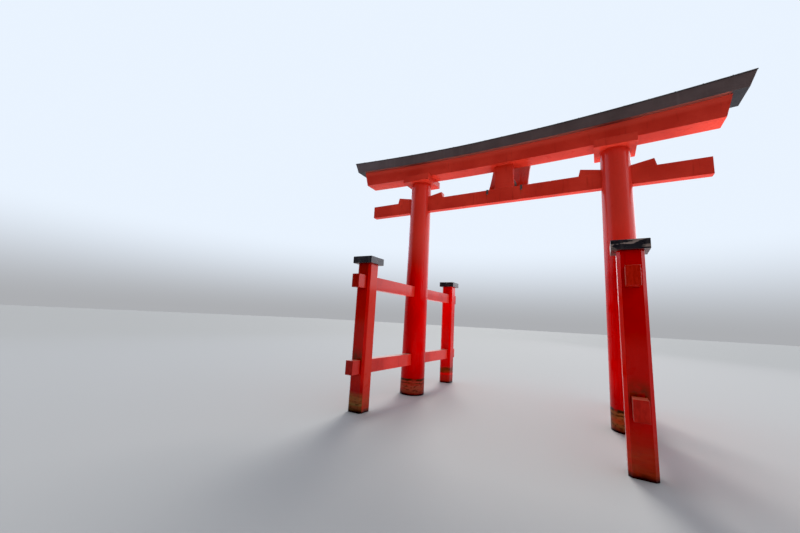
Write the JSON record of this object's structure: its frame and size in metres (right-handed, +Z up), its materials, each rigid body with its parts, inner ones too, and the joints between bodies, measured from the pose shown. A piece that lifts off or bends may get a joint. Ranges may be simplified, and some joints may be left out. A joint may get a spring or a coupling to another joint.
{
  "type": "torii gate",
  "caption": "Freestanding shrine gate with round pillars, square sleeve posts tied through them, a wedged lintel and an upswept black double top beam.",
  "frame": {"origin": "on the waterline, midway between the two pillars", "axes": "+Z up, +X to the right along the gate as seen from the shore, +Y through the gate to the plaque's side"},
  "size_m": [10.6768, 6.282, 7.864],
  "materials": {
    "vermilion_paint": "glossy vermilion paint",
    "black_paint": "satin black paint",
    "dark_iron": "dull dark iron"
  },
  "bodies": {
    "root": {"left_pillar": "vermilion_paint", "right_pillar": "vermilion_paint", "left_top_plate": "vermilion_paint", "right_top_plate": "vermilion_paint", "shimagi": "vermilion_paint", "nuki": "vermilion_paint", "left_outer_wedge": "vermilion_paint", "left_inner_wedge": "vermilion_paint", "right_inner_wedge": "vermilion_paint", "right_outer_wedge": "vermilion_paint", "centre_strut": "vermilion_paint", "plaque_board": "vermilion_paint", "plaque_frame": "vermilion_paint", "left_batten": "vermilion_paint", "right_batten": "vermilion_paint", "left_front_post": "vermilion_paint", "left_back_post": "vermilion_paint", "right_front_post": "vermilion_paint", "right_back_post": "vermilion_paint", "left_upper_tie": "vermilion_paint", "left_lower_tie": "vermilion_paint", "right_upper_tie": "vermilion_paint", "right_lower_tie": "vermilion_paint", "kasagi": "black_paint", "left_front_cap": "black_paint", "left_back_cap": "black_paint", "right_front_cap": "black_paint", "right_back_cap": "black_paint", "left_plaque_hook": "dark_iron", "right_plaque_hook": "dark_iron", "left_lower_stay": "dark_iron", "right_lower_stay": "dark_iron", "left_upper_stay": "dark_iron", "right_upper_stay": "dark_iron"}
  },
  "joints": []
}
